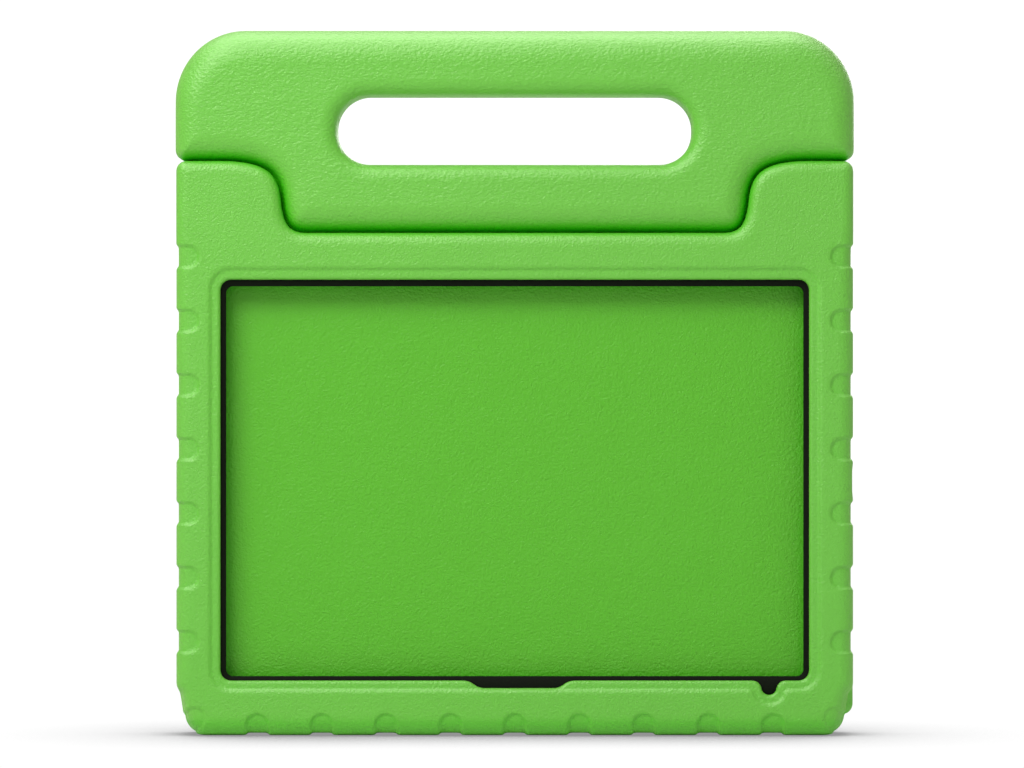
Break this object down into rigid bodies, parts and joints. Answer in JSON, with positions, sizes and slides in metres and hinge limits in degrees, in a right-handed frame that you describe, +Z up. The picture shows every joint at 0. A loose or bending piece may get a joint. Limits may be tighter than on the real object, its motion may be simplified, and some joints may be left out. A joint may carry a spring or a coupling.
{
  "type": "tablet case with folding handle",
  "caption": "Foam bumper case for a child's tablet: framed window, closed back, pocket for the tablet and a full-width carrying handle that folds back as a stand.",
  "frame": {"origin": "middle of the bottom edge that the case stands on, half way through its thickness", "axes": "+Z up along the case's height, the window faces -Y, the hinge runs along X"},
  "size_m": [0.2716, 0.028, 0.282],
  "materials": {
    "eva_foam": "satin",
    "surround_plastic": "satin",
    "nylon": "satin",
    "pin_steel": "satin",
    "washer_rubber": "matte"
  },
  "bodies": {
    "case": {"front_frame": "eva_foam", "back_cover": "eva_foam", "screen_surround": "surround_plastic", "hinge_sleeve_left": "nylon", "hinge_sleeve_right": "nylon", "friction_washer_left": "washer_rubber", "friction_washer_right": "washer_rubber"},
    "folding_handle": {"handle": "eva_foam", "hinge_socket_left": "nylon", "hinge_socket_right": "nylon", "hinge_pin_left": "pin_steel", "hinge_pin_right": "pin_steel"}
  },
  "joints": [
    {"name": "handle_fold", "type": "hinge", "parent": "case", "child": "folding_handle", "pos_m": [0, 0.007, 0.214], "axis": [-1, 0, 0], "range_deg": [0, 120]}
  ]
}
